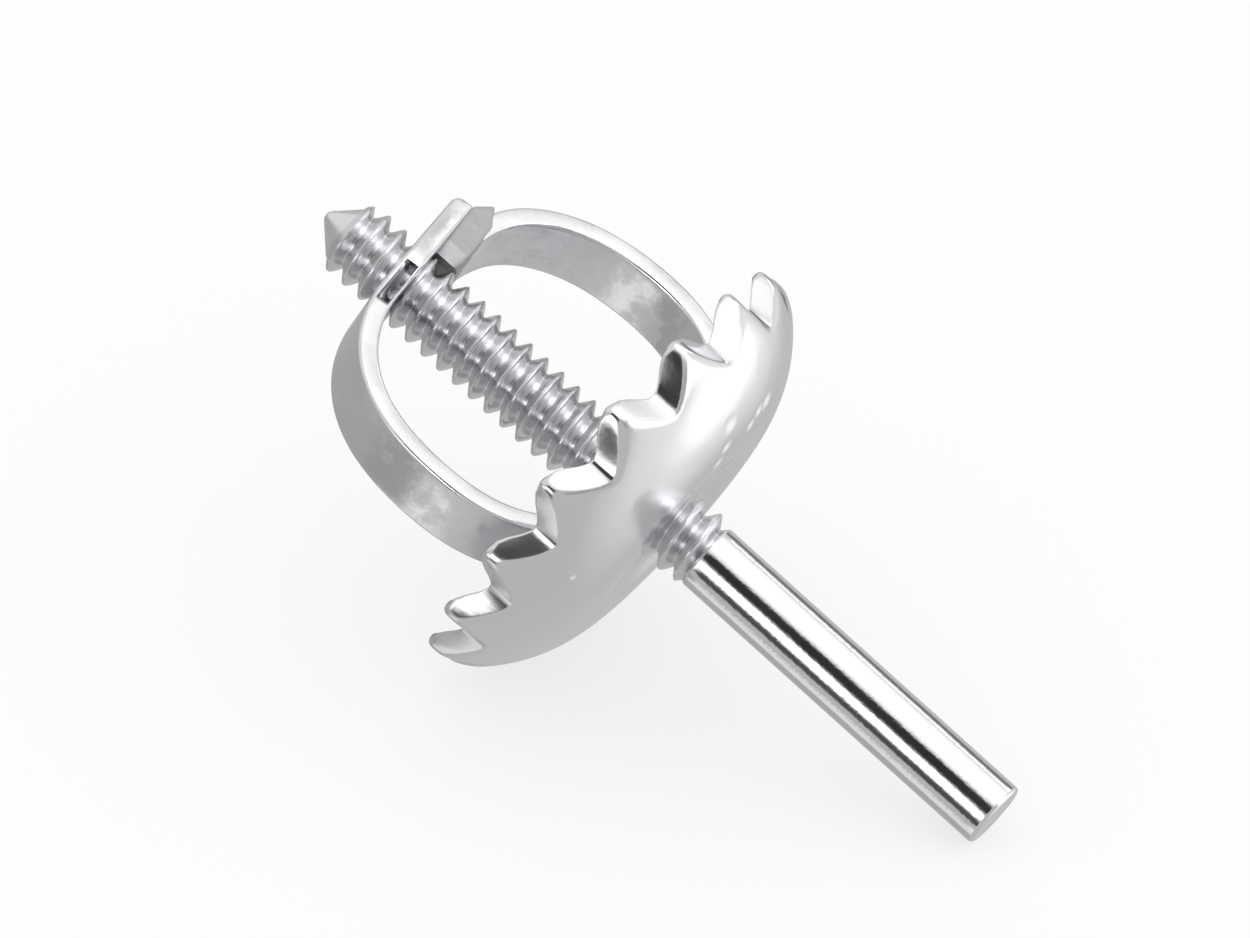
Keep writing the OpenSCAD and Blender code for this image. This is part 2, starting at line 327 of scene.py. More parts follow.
def post_thread():
    """The thread, fading out at the shank and cut back to the cone at the tip."""
    first = math.floor((SHANK_TOP - 2 * SUNK) / PITCH)
    obj = wound_thread("post_metal", first, math.ceil(ROD_TOP / PITCH) - first, 0)
    for vertex in obj.data.vertices:
        x, y, z = vertex.co
        radius = math.hypot(x, y)
        fade = min(1, max(0, (z - SHANK_TOP - RUNOUT_GAP) / RUNOUT_L))
        fade = fade * fade * (3 - 2 * fade)
        low = min(radius, FADED_R)
        wanted = min(low + (radius - low) * fade, CONE_R + max(0, CREST_CUT_Z - z))
        vertex.co.x *= wanted / radius
        vertex.co.y *= wanted / radius
    cut_level(obj, SHANK_TOP - SUNK, keep_above=True)
    cut_level(obj, THREAD_END_Z, keep_above=False)
    face_outwards(obj)
    return obj


post = post_thread()
print("The thread starts", SUNK, "mm inside the shank")

# %% Post: the shank
END_BEVEL = 0.06
SHOULDER_R, SHOULDER_DROP = 0.05, 0.01
END_RING = 0.15
ROUND_STEPS = 5


def shank():
    """The plain length, with a bevelled flat end and a soft shoulder."""
    bevel = arc((SHANK_R - END_BEVEL, END_BEVEL), END_BEVEL, -90, 0, ROUND_STEPS)
    shoulder = arc((SHANK_R - SHOULDER_R, SHANK_TOP - SHOULDER_DROP), SHOULDER_R, 0, 90, ROUND_STEPS)
    side = [(SHANK_R, END_RING), (SHANK_R, SHANK_TOP - END_RING)]
    return turned("shank", [(0, 0)] + bevel + side + shoulder + [(0, shoulder[-1][1])], POST_STEPS)


combine(post, shank(), "UNION")
print("Shank:", 2 * SHANK_R, "mm thick and", SHANK_TOP, "mm long")

# %% Post: the cone
POINT_R = 0.12
POINT_STEPS = 6
CONE_EDGE_R, CONE_EDGE_STEPS = 0.02, 3
CORE_R = ROOT_R - 0.02
CORE_L, CORE_NECK, CONE_UNDER = 0.6, 0.05, 0.04


def cone():
    """The cone at the tip with its round point, on a core that reaches into the thread."""
    lean = math.degrees(math.atan2(CONE_R - POINT_R, CONE_L))
    base = ROD_TOP - POINT_R * (1 - math.sin(math.radians(lean)))
    core = [(0, base - CORE_L), (CORE_R, base - CORE_L), (CORE_R, base - CORE_NECK)]
    edge = arc((CONE_R - CONE_EDGE_R, base), CONE_EDGE_R, 0, lean, CONE_EDGE_STEPS)
    point = arc((0, POST_L - POINT_R), POINT_R, lean, 90, POINT_STEPS)
    return turned("cone", core + [(CONE_R, base - CONE_UNDER)] + edge + point, POST_STEPS)


combine(post, cone(), "UNION")
smooth(post, sharp_degrees=38)

# %% [markdown]
# ## The cup
#
# The cup is blanked and dished from sheet. Its wall is an arc that leaves the ring on which the cup would
# stand and flares out to the teeth, and the middle is pressed in a little for the bow's foot. The V cuts
# between the teeth run straight up the axis, and tumbling has rounded every edge. A torus has the right
# weave for this, rings one way and closed outlines the other, so a torus is laid over the sheet: every
# outline follows the outer face, the cut edge and the inner face, out to the radius that the teeth have at
# its angle.

# %% Cup: its two faces
NUT_Z = 5.40
CUP_R = 3.19
CUP_H = 1.34
CUP_T = 0.28
RING_R = 1.30
FLAT_R = 0.70
DIMPLE = 0.12
WALL_RISE = 1.02
WALL_RUN = CUP_R - RING_R
WALL_R = (WALL_RUN ** 2 + WALL_RISE ** 2) / (2 * WALL_RISE)
LEVEL_BLEND = 0.05
ARC_SHARE = 0.999


def soft_min(a, b, blend):
    """The smaller of two values, rounded over where they meet."""
    h = max(0, min(1, 0.5 + (b - a) / (2 * blend)))
    return b + (a - b) * h - blend * h * (1 - h)


def outer_face(radius):
    """Height of the cup's outer face over its ring."""
    if radius < FLAT_R:
        return DIMPLE
    if radius < RING_R:
        return DIMPLE * (1 + math.cos(math.pi * (radius - FLAT_R) / (RING_R - FLAT_R))) / 2
    return WALL_R - math.sqrt(WALL_R ** 2 - (radius - RING_R) ** 2)


def inner_face(radius):
    """Height of the cup's inner face over its ring, levelled at the tops of the teeth."""
    if radius < RING_R:
        return outer_face(radius) + CUP_T
    inner_r = WALL_R - CUP_T
    reach = min(radius - RING_R, inner_r * ARC_SHARE)
    return soft_min(WALL_R - math.sqrt(inner_r ** 2 - reach ** 2), CUP_H, LEVEL_BLEND)


print("The cup's wall is an arc of", round(WALL_R, 2), "mm radius")

# %% Cup: the toothed edge
TEETH = 16
TOOTH_DEPTH = 0.33
TOOTH_TOP = 0.16
TOOTH_TURN = math.radians(-1.75)
TOOTH_ROUND, VALLEY_ROUND = 0.06, 0.03


def edge_radius(angle):
    """How far the toothed edge reaches at an angle about the post."""
    step = math.tau / TEETH
    off = (angle - TOOTH_TURN) % step - step / 2
    low = CUP_R - TOOTH_DEPTH
    half = step / 2 - TOOTH_TOP / 2 / CUP_R
    slope = (CUP_R * math.cos(half) - low) / (CUP_R * math.sin(half))
    side = math.sqrt(math.sin(off) ** 2 + VALLEY_ROUND ** 2) - VALLEY_ROUND / 2
    flank = low / (math.cos(off) - slope * side)
    return soft_min(flank, CUP_R, TOOTH_ROUND)


print("A tooth reaches", round(edge_radius(TOOTH_TURN), 3), "mm from the axis")

# %% Cup: one outline of the sheet
# The hole as it is drilled, before the tap.
HOLE_R = 0.36
FACE_STEPS, EDGE_STEPS = 24, 5
EDGE_R_VALLEY, EDGE_R_TIP = 0.05, 0.13
EDGE_SHARE = 0.45


def rounded(start, corner, end, steps):
    """Points on the round edge that replaces a corner, without its two ends."""
    out = []
    for k in range(1, steps):
        t = k / steps
        before, at, after = (1 - t) ** 2, 2 * t * (1 - t), t * t
        out.append(tuple(before * a + at * b + after * c for a, b, c in zip(start, corner, end)))
    return out


def cup_outline(angle):
    """The closed outline of the sheet at an angle, as (radius, height) points."""
    reach = edge_radius(angle)
    tip = (reach - CUP_R + TOOTH_DEPTH) / TOOTH_DEPTH
    edge_r = EDGE_R_VALLEY + (EDGE_R_TIP - EDGE_R_VALLEY) * max(0, min(1, tip))
    radii = [HOLE_R + (reach - edge_r - HOLE_R) * k / FACE_STEPS for k in range(FACE_STEPS + 1)]
    outer = [(r, outer_face(r)) for r in radii]
    inner = [(r, inner_face(r)) for r in reversed(radii)]
    low, high = outer_face(reach), inner_face(reach)
    ease = min(edge_r, (high - low) * EDGE_SHARE)
    edge = rounded(outer[-1], (reach, low), (reach, low + ease), EDGE_STEPS)
    edge += [(reach, low + ease), (reach, (low + high) / 2), (reach, high - ease)]
    edge += rounded((reach, high - ease), (reach, high), inner[0], EDGE_STEPS)
    hole = [(HOLE_R, DIMPLE + CUP_T * 2 / 3), (HOLE_R, DIMPLE + CUP_T / 3)]
    return outer + edge + inner + hole


print("Points in one outline:", len(cup_outline(0)))

# %% Cup: the torus laid over the sheet
FLOOR_Z = NUT_Z + DIMPLE + CUP_T
RINGS_PER_TOOTH = 16
CROWDING = 0.045


def make_cup():
    """The toothed cup. Its rings crowd at the tips and the valleys, where the edge turns sharply."""
    rings = TEETH * RINGS_PER_TOOTH
    points = len(cup_outline(0))
    # Every point of the torus is moved, so its own radii don't matter.
    bpy.ops.mesh.primitive_torus_add(
        major_segments=rings, minor_segments=points, major_radius=RING_R, minor_radius=CUP_T)
    obj = bpy.context.object
    obj.name = "cup_metal"
    for i in range(rings):
        share = i / RINGS_PER_TOOTH
        share -= CROWDING * math.sin(4 * math.pi * share)
        angle = TOOTH_TURN + share * math.tau / TEETH
        for j, (radius, height) in enumerate(cup_outline(angle)):
            place = (radius * math.cos(angle), radius * math.sin(angle), NUT_Z + height)
            obj.data.vertices[i * points + j].co = place
    face_outwards(obj)
    return obj


cup = make_cup()
combine(cup, tap(NUT_Z, FLOOR_Z), "DIFFERENCE")
smooth(cup, sharp_degrees=50)

# %% [markdown]
# ## The bow
#
# The bow is one flat strap. It is bent from the lap at its top, over the round shoulder, down the left
# arm, under the foot, up the right arm and back in under the lap, where the ends are soldered. A flat grid
# is the strap before bending. Each row of it is carried to its place along the bend, and Solidify and
# Bevel give it its thickness and its softened edges. Round each hole the metal spreads into an eye.

# %% Bow: sizes
SOLDER_T = 0.03
FOOT_Z = FLOOR_Z + SOLDER_T
BOW_H = 4.37
REACH_ROUND, REACH_LAP = 2.54, 2.82
WIDE_ROUND, WIDE_LAP = 2.10, 1.81
STRAP_W = 0.925
STRAP_T = 0.28
TOP_SLOPE = math.radians(6.2)
LAP_END = 1.38
LAP_L = 0.75
BOW_TURN = math.radians(99.8)
print("The bow is", round(REACH_ROUND + REACH_LAP, 2), "mm across and", BOW_H, "mm high")

# %% Bow: the lines that it follows
SQUARENESS = 2.45
FOOT_FLAT = 0.05


def bend(value):
    """One coordinate of the oval that the strap follows, a little squarer than an ellipse."""
    return math.copysign(abs(value) ** (2 / SQUARENESS), value)


def oval_point(angle, inset):
    """A point of the oval, across and up from the foot."""
    right, up = math.cos(angle) > 0, math.sin(angle) > 0
    wide = WIDE_LAP if right else WIDE_ROUND
    reach = (REACH_LAP if right else REACH_ROUND) - inset
    rise = (BOW_H - wide if up else wide + FOOT_FLAT) - inset
    return Vector((reach * bend(math.cos(angle)), wide + rise * bend(math.sin(angle))))


def top_line(across, depth):
    """Height of the strap's straight top at a distance from the post, at a depth in the metal."""
    return BOW_H + across * math.tan(TOP_SLOPE) - depth / math.cos(TOP_SLOPE)


print("The lap's end stands", round(top_line(LAP_END, 0), 2), "mm over the foot")

# %% Bow: the strap's route
OVAL_STEPS = 288
LAP_START, LOOP_START, LOOP_END = -0.4, -0.5, LAP_END + 0.25
TAIL_L = 0.3
FINE_STEPS, EASE_ROUNDS, ROWS = 600, 260, 260
TINY = 1e-9


def even_steps(points, count):
    """The same line cut into equal steps."""
    lengths = [0.0]
    for a, b in zip(points, points[1:]):
        lengths.append(lengths[-1] + (b - a).length)
    out, k = [], 0
    for i in range(count + 1):
        wanted = lengths[-1] * i / count
        while k < len(points) - 2 and lengths[k + 1] < wanted:
            k += 1
        share = (wanted - lengths[k]) / max(lengths[k + 1] - lengths[k], TINY)
        out.append(points[k].lerp(points[k + 1], min(1, share)))
    return out


def eased(points, rounds):
    """The line with its corners drawn smooth, and its ends kept."""
    for _ in range(rounds):
        middle = [(a + 2 * b + c) / 4 for a, b, c in zip(points, points[1:], points[2:])]
        points = [points[0]] + middle + [points[-1]]
    return points


def strap_route():
    """The middle of the strap's thickness, from the lap's end to the tail under the lap."""
    half = STRAP_T / 2
    lap = [Vector((x, top_line(x, half))) for x in (LAP_END, LAP_START)]
    loop = []
    for k in range(1, OVAL_STEPS):
        point = oval_point(math.pi / 2 + math.tau * k / OVAL_STEPS, half)
        point.y = max(point.y, half)
        if point.x < LOOP_START or point.y < WIDE_LAP or point.x > LOOP_END:
            loop.append(point)
    tail_end = LAP_END - LAP_L
    tail_depth = STRAP_T + SOLDER_T + half
    tail = [Vector((x, top_line(x, tail_depth))) for x in (tail_end + TAIL_L, tail_end)]
    points = even_steps(lap + loop + tail, FINE_STEPS)
    return even_steps(eased(points, EASE_ROUNDS), ROWS)


route = strap_route()
route_l = sum((b - a).length for a, b in zip(route, route[1:]))
print("The strap is", round(route_l, 2), "mm long before it is bent")

# %% Bow: bending the strap
ACROSS = 6
EYE_R = 0.60
EYE_EASE, EYE_BLEND = 1.3, 0.16
LAP_ROUND = 0.17
STRAP_ROUND, STRAP_ROUND_STEPS = 0.11, 5
SHARP_DEGREES = 50


def half_width(across, in_lap):
    """Half the strap's width, spread into an eye round the holes, which the lap leaves slowly."""
    if in_lap and across > 0:
        share = (1 + math.cos(math.pi * min(across / EYE_EASE, 1))) / 2
        return STRAP_W / 2 + (EYE_R - STRAP_W / 2) * share
    eye = math.sqrt(max(EYE_R ** 2 - across ** 2, 0))
    return -soft_min(-STRAP_W / 2, -eye, EYE_BLEND)


def round_lap_end(obj):
    """Rounds the upper corner of the lap's end over."""
    for vertex in obj.data.vertices:
        over = vertex.co.x - (LAP_END - LAP_ROUND)
        depth = (top_line(vertex.co.x, 0) + FOOT_Z - vertex.co.z) / STRAP_T
        if over > 0 and depth < 1:
            drop = LAP_ROUND - math.sqrt(max(LAP_ROUND ** 2 - over ** 2, 0))
            vertex.co.z -= drop * min(1, 1 - depth)


def make_bow():
    """The bent strap, its edges softened. The first quarter of its rows holds the lap."""
    rows = len(route)
    bpy.ops.mesh.primitive_grid_add(x_subdivisions=ACROSS, y_subdivisions=rows - 1, size=1)
    obj = bpy.context.object
    obj.name = "bow_metal"
    for vertex in obj.data.vertices:
        row = round((vertex.co.y + 0.5) * (rows - 1))
        side = 2 * vertex.co.x
        width = side * half_width(route[row].x, row < rows / 4)
        vertex.co = (route[row].x, width, FOOT_Z + route[row].y)
    solid = obj.modifiers.new("thickness", "SOLIDIFY")
    solid.thickness = STRAP_T
    solid.offset = 0
    solid.use_even_offset = True
    soft = obj.modifiers.new("softened edges", "BEVEL")
    soft.width = STRAP_ROUND
    soft.segments = STRAP_ROUND_STEPS
    soft.limit_method = "ANGLE"
    soft.angle_limit = math.radians(SHARP_DEGREES)
    finish_modifiers(obj)
    round_lap_end(obj)
    turn_about_post(obj, BOW_TURN)
    face_outwards(obj)
    return obj


bow = make_bow()
print("The strap's edges are rounded by", STRAP_ROUND, "mm")

# %% Bow: its holes and the window in the eye
WINDOW_W, WINDOW_H = 0.60, 0.18
WINDOW_TURN = math.radians(-136.4)


def window_cutter():
    """A block that opens the front of the eye, where the tapped hole breaks through."""
    bpy.ops.mesh.primitive_cube_add(size=1)
    obj = bpy.context.object
    obj.matrix_world = (
        Matrix.Translation((0, 0, FOOT_Z + BOW_H - STRAP_T / 2)) @ Matrix.Rotation(BOW_TURN, 4, "Z")
        @ Matrix.Rotation(-TOP_SLOPE, 4, "Y") @ Matrix.Rotation(WINDOW_TURN, 4, "Z")
        @ Matrix.Translation((EYE_R, 0, 0)) @ Matrix.Diagonal((EYE_R * 2, WINDOW_W, WINDOW_H, 1)))
    apply_place(obj)
    return obj


bow_top = FOOT_Z + BOW_H
combine(bow, window_cutter(), "DIFFERENCE")
combine(bow, tap(FOOT_Z, FOOT_Z + STRAP_T), "DIFFERENCE")
combine(bow, tap(bow_top - 2 * STRAP_T, bow_top), "DIFFERENCE")
smooth(bow, sharp_degrees=SHARP_DEGREES)

# %% [markdown]
# ## The solder
#
# Two joints hold the back together. A pool of solder has run round the bow's foot on the cup's floor, and
# a little more fills the lap and the corner under it. The pool is round, so it is turned, with the hollow
# edge that solder draws where it wets a face. The filling of the lap starts as a block with the lap's
# outline. Remesh gives it even faces, and Displace and Smooth then melt it into a lump.

# %% Solder: the pool round the bow's foot
POOL_R = 0.92
POOL_FLOOR_R = (1.0, 0.9, 0.8, FLAT_R)
HOLLOW_OUT, HOLLOW_R, HOLLOW_LIFT = 0.04, 0.95, 0.004
HOLLOW_STEPS = 5
BORE_R = 0.57
SOLDER_STEPS = 96


def make_pool():
    """The pool round the bow's foot, with a hollow edge that thins out on the floor."""
    floor_line = [(r, NUT_Z + inner_face(r)) for r in POOL_FLOOR_R + (BORE_R,)]
    hollow = (POOL_R + HOLLOW_OUT, NUT_Z + inner_face(HOLLOW_R) + HOLLOW_LIFT)
    edge = rounded((POOL_R, FOOT_Z), hollow, floor_line[0], HOLLOW_STEPS)
    outline = [(BORE_R, FOOT_Z), (POOL_R, FOOT_Z)] + edge + floor_line + [(BORE_R, FOOT_Z)]
    return turned("foot_solder_metal", outline, SOLDER_STEPS)


pool = make_pool()
smooth(pool, sharp_degrees=40)

# %% Solder: the outline of the filling in the lap
SEAM_HALF_W = 0.475
INTO_METAL = 0.02
TAIL_END = LAP_END - LAP_L
# Where the solder has run out over the strap beyond the lap: across and up from the foot.
RUN_OUT = ((1.64, 4.07), (1.46, 3.97))
# The lump under the lap, from the strap's inner face back to the post: along the lap and below its top.
LUMP = ((1.26, 0.63), (TAIL_END + 0.02, 0.63), (0.45, 0.62), (0.2, 0.50))


def on_lap(along, depth):
    """A point (across, up) at a distance along the lap and a depth below its top."""
    return along * math.cos(TOP_SLOPE) + depth * math.sin(TOP_SLOPE), top_line(along, depth)


def seam_block():
    """A block with the outline of the solder in the lap."""
    under = STRAP_T - INTO_METAL
    outline = [on_lap(0, under), on_lap(LAP_END - INTO_METAL, under), *RUN_OUT]
    outline += [on_lap(along, depth) for along, depth in LUMP]
    obj = chain("seam_solder_metal", [(across, -SEAM_HALF_W, FOOT_Z + up) for across, up in outline])
    edit_all(obj)
    bpy.ops.mesh.edge_face_add()
    bpy.ops.mesh.extrude_region_move(TRANSFORM_OT_translate={"value": (0, 2 * SEAM_HALF_W, 0)})
    bpy.ops.object.mode_set(mode="OBJECT")
    face_outwards(obj)
    return obj


seam = seam_block()
print("The block of solder is", 2 * SEAM_HALF_W, "mm wide")

# %% Solder: melting the block
MELT_EDGE, MELT_EDGE_STEPS = 0.04, 3
FACE_SIZE = 0.016
LUMP_SIZE, LUMP_HEIGHT = 0.2, 0.02
SETTLE_SHARE, SETTLE_ROUNDS = 0.6, 8
TAPER = 0.6
BORE_LOW, BORE_HIGH = FOOT_Z + 3, FOOT_Z + 5


def melt(obj):
    """Rounds the block, gives it lumps, and narrows it towards the post, where the solder ran thin."""
    soft = obj.modifiers.new("melted edges", "BEVEL")
    soft.width = MELT_EDGE
    soft.segments = MELT_EDGE_STEPS
    even = obj.modifiers.new("even faces", "REMESH")
    even.mode = "VOXEL"
    even.voxel_size = FACE_SIZE
    lumps = bpy.data.textures.new("lumps", "CLOUDS")
    lumps.noise_scale = LUMP_SIZE
    lumpy = obj.modifiers.new("lumps", "DISPLACE")
    lumpy.texture = lumps
    lumpy.strength = LUMP_HEIGHT
    settle = obj.modifiers.new("settling", "SMOOTH")
    settle.factor = SETTLE_SHARE
    settle.iterations = SETTLE_ROUNDS
    finish_modifiers(obj)
    for vertex in obj.data.vertices:
        vertex.co.y *= 1 - TAPER * max(0, 1 - vertex.co.x / TAIL_END)
    turn_about_post(obj, BOW_TURN)


melt(seam)
bore = [(0, BORE_LOW), (BORE_R, BORE_LOW), (BORE_R, BORE_HIGH), (0, BORE_HIGH)]
combine(seam, turned("bore", bore, SOLDER_STEPS), "DIFFERENCE")
smooth(seam, sharp_degrees=60)

# %% [markdown]
# ## The metal
#
# All the pieces are silver-coloured metal with a bright finish, and each was worked in its own way. A
# polished metal is almost all reflection, so the finishes differ in how sharp that reflection is and in
# how the surface waves, much more than in colour. One function makes the metal. It has a fine grain and
# slow waves, both from noise on Object coordinates, so no piece needs an unwrapped surface.

# %% Colours and nodes
def linear(hex_colour):
    """A linear colour from an sRGB hex value."""
    out = []
    for k in (1, 3, 5):
        value = int(hex_colour[k:k + 2], 16) / 255
        out.append(value / 12.92 if value <= 0.04045 else ((value + 0.055) / 1.055) ** 2.4)
    return (*out, 1.0)


def add_node(tree, kind, settings=(), links=()):
    """Adds a node, sets its values and sockets, and links other nodes' outputs into it."""
    node = tree.nodes.new(kind)
    for key, value in settings:
        if isinstance(key, int) or key in node.inputs:
            node.inputs[key].default_value = value
        else:
            setattr(node, key, value)
    for socket, source in links:
        tree.links.new(source, node.inputs[socket])
    return node


print("Mid grey is linear", round(linear("#808080")[0], 3))

# %% The metal itself
# Most of a noise's values lie in this span.
NOISE_LOW, NOISE_HIGH = 0.3, 0.7
# The shares of a finish's roughness that its brightest and dullest places have.
BRIGHTER, DULLER = 0.75, 1.3


def metal(name, colour, roughness, grain_mm, grain_depth_mm, wave_mm, wave_depth_mm):
    """A bright metal whose surface has a fine grain and slower, shallow waves."""
    material = bpy.data.materials.new(name)
    material.use_nodes = True
    tree = material.node_tree
    shader = tree.nodes["Principled BSDF"]
    shader.inputs["Metallic"].default_value = 1.0
    shader.inputs["Base Color"].default_value = linear(colour)
    place = add_node(tree, "ShaderNodeTexCoord").outputs["Object"]
    waves = add_node(tree, "ShaderNodeTexNoise", [("Scale", 1 / (wave_mm * MM)), ("Detail", 2.0)],
                     [("Vector", place)])
    grain = add_node(tree, "ShaderNodeTexNoise", [("Scale", 1 / (grain_mm * MM)), ("Detail", 3.0)],
                     [("Vector", place)])
    rough = add_node(tree, "ShaderNodeMapRange", [("From Min", NOISE_LOW), ("From Max", NOISE_HIGH),
                     ("To Min", roughness * BRIGHTER), ("To Max", roughness * DULLER)],
                     [("Value", waves.outputs["Fac"])])
    tree.links.new(rough.outputs["Result"], shader.inputs["Roughness"])
    slow = add_node(tree, "ShaderNodeBump", [("Strength", 1.0), ("Distance", wave_depth_mm * MM)],
                    [("Height", waves.outputs["Fac"])])
    fine = add_node(tree, "ShaderNodeBump", [("Strength", 1.0), ("Distance", grain_depth_mm * MM)],
                    [("Height", grain.outputs["Fac"]), ("Normal", slow.outputs["Normal"])])
    tree.links.new(fine.outputs["Normal"], shader.inputs["Normal"])
    print("Finish:", name)
    return material


# %% [markdown]
# ## Where a finish changes
#
# Parts of a piece are worked differently: the thread is rolled, the cup has dings, and the strap is duller
# in patches. Each such place is a mask, which is white there and black elsewhere, and a mask blends
# another value into one socket of the shader. The masks are worked out from places on the piece, so they
# stay with it when it moves.

# %% Blending into a finish
# The numbers of a Mix node's two inputs and of its output, for numbers and for colours.
MIX_SOCKETS = {"FLOAT": (2, 3, 0), "RGBA": (6, 7, 2)}


def place_of(material):
    """A material's Object coordinates."""
    return next(n for n in material.node_tree.nodes if n.type == "TEX_COORD").outputs["Object"]


def blend_into(material, socket, value, mask):
    """Blends a value into one of a finish's sockets where the mask is white."""
    tree = material.node_tree
    target = tree.nodes["Principled BSDF"].inputs[socket]
    kind = "FLOAT" if target.type == "VALUE" else "RGBA"
    first, second, result = MIX_SOCKETS[kind]
    mix = add_node(tree, "ShaderNodeMix", [("data_type", kind), (second, value)], [(0, mask)])
    if target.is_linked:
        tree.links.new(target.links[0].from_socket, mix.inputs[first])
    else:
        mix.inputs[first].default_value = target.default_value
    tree.links.new(mix.outputs[result], target)
    print("Blended into", material.name, "-", socket)


def dent(material, mask, depth_mm):
    """Presses the masked places in by a depth."""
    tree = material.node_tree
    normal = tree.nodes["Principled BSDF"].inputs["Normal"]
    bump = add_node(tree, "ShaderNodeBump", [("Strength", 1.0), ("Distance", -depth_mm * MM)],
                    [("Height", mask), ("Normal", normal.links[0].from_socket)])
    tree.links.new(bump.outputs["Normal"], normal)


# %% [markdown]
# ## The wire
#
# Drawing through a die and burnishing leave the shank almost a mirror, which shows the studio as sharp
# streaks along it. Rolling leaves the crests and roots of the thread duller. The thread is also given a
# darker colour than the shank, which is painted shade between its crests. Its highlights are drawn out
# along the post by the Anisotropic value, so the lights run up the thread in columns.

# %% Wire: burnished shank, rolled thread with painted shade
ROLLED_MARGIN, ROLLED_FADE = 0.02, 0.03


def height_mask(material, low, high, fade):
    """White between two heights up the post, with a fade to each side of both."""
    tree = material.node_tree
    local = add_node(tree, "ShaderNodeVectorMath", [("operation", "SUBTRACT"), (1, LAID.translation)],
                     [(0, place_of(material))])
    height = add_node(tree, "ShaderNodeVectorMath", [("operation", "DOT_PRODUCT"), (1, axis_z)],
                      [(0, local.outputs["Vector"])]).outputs["Value"]
    over = add_node(tree, "ShaderNodeMapRange", [("From Min", (low - fade) * MM),
                    ("From Max", (low + fade) * MM)], [("Value", height)])
    under = add_node(tree, "ShaderNodeMapRange", [("From Min", (high + fade) * MM),
                     ("From Max", (high - fade) * MM)], [("Value", height)])
    return add_node(tree, "ShaderNodeMath", [("operation", "MULTIPLY")],
                    [(0, over.outputs["Result"]), (1, under.outputs["Result"])]).outputs[0]


def draw_out_along(material, direction):
    """Sets the direction that the Anisotropic value works along."""
    tree = material.node_tree
    way = add_node(tree, "ShaderNodeVectorMath", [("operation", "NORMALIZE"), (0, direction)])
    tree.links.new(way.outputs["Vector"], tree.nodes["Principled BSDF"].inputs["Tangent"])


# The real grain of all these finishes is a few thousandths of a millimetre, too fine to show. It is drawn
# at 0.05 to 0.08 mm, as coarse as it has to be to show.
wire = metal("burnished and rolled silver wire", "#E9E9EB", roughness=0.09, grain_mm=0.05,
             grain_depth_mm=0.0016, wave_mm=0.8, wave_depth_mm=0.004)
rolled_and_shaded = height_mask(wire, SHANK_TOP + ROLLED_MARGIN, ROD_TOP - ROLLED_MARGIN, ROLLED_FADE)
# The thread's darker colour is painted shade between its crests. Its roughness and Anisotropic value are the
# rolled finish.
blend_into(wire, "Base Color", linear("#DADADC"), rolled_and_shaded)
blend_into(wire, "Roughness", 0.22, rolled_and_shaded)
blend_into(wire, "Anisotropic", 0.8, rolled_and_shaded)
draw_out_along(wire, axis_z)

# %% [markdown]
# ## The sheet
#
# Tumbling in steel shot leaves the cup bright but a little soft, so its lights spread out, and pressing
# leaves shallow waves. Its wall has a few dings with matt bottoms, and a white glint is painted on each.
# Each lies on the outer face at a distance from the post and an angle, and a mask round all of them makes
# the metal there matt and pressed in, and paints it white as a glint.

# %% Sheet: tumbled, with dings and painted glints
# Each ding's distance from the post's axis, its angle about the post in degrees, and its own radius.
DINGS_WITH_GLINTS = (
    (1.61, 2.9, 0.16), (1.84, 5.8, 0.15), (2.20, 6.1, 0.18), (1.87, 23.9, 0.15), (2.03, 27.6, 0.15),
    (2.10, 33.6, 0.19), (2.46, -65.8, 0.08),
)
DING_DEPTH = 0.012


def on_cup(reach, degrees):
    """A place on the cup's outer face, in upright millimetres."""
    angle = math.radians(degrees)
    return Vector((reach * math.cos(angle), reach * math.sin(angle), NUT_Z + outer_face(reach)))


def ding_and_glint_mask(material):
    """White round the middle of each ding, where a glint is painted."""
    tree = material.node_tree
    total = None
    for reach, degrees, radius in DINGS_WITH_GLINTS:
        centre = LAID_MM @ on_cup(reach, degrees)
        far = add_node(tree, "ShaderNodeVectorMath", [("operation", "DISTANCE"), (1, centre)],
                       [(0, place_of(material))])
        near = add_node(tree, "ShaderNodeMapRange", [("interpolation_type", "SMOOTHSTEP"),
                        ("From Min", radius * MM), ("From Max", 0.0)], [("Value", far.outputs["Value"])])
        if total:
            near = add_node(tree, "ShaderNodeMath", [("operation", "MAXIMUM")],
                            [(0, total), (1, near.outputs["Result"])])
        total = near.outputs[0]
    return total


sheet = metal("tumbled silver sheet", "#E6E6E8", roughness=0.17, grain_mm=0.07,
              grain_depth_mm=0.0010, wave_mm=0.9, wave_depth_mm=0.012)
dings_and_glints = ding_and_glint_mask(sheet)
# The white base colour at each ding is a painted glint.
blend_into(sheet, "Base Color", linear("#FFFFFF"), dings_and_glints)
blend_into(sheet, "Roughness", 0.6, dings_and_glints)
dent(sheet, dings_and_glints, DING_DEPTH)

# %% [markdown]
# ## The strap and the solder
#
# The strap keeps the skin of the rolled sheet that it was cut from. Bending and soldering stain it, so it
# is duller in patches, and those come from the higher parts of a slow noise. Solder is greyer and duller
# than what it joins, and part of its grey is painted shade: the darker reflection of the concave fillet
# in the lap. It is also set less metallic: it fills a narrow corner between bright faces, where a full
# metal would reflect only the dark of the corner.

# %% Strap: rolled skin with dull patches
PATCH_MM = 0.7
PATCH_LOW, PATCH_HIGH = 0.45, 0.62


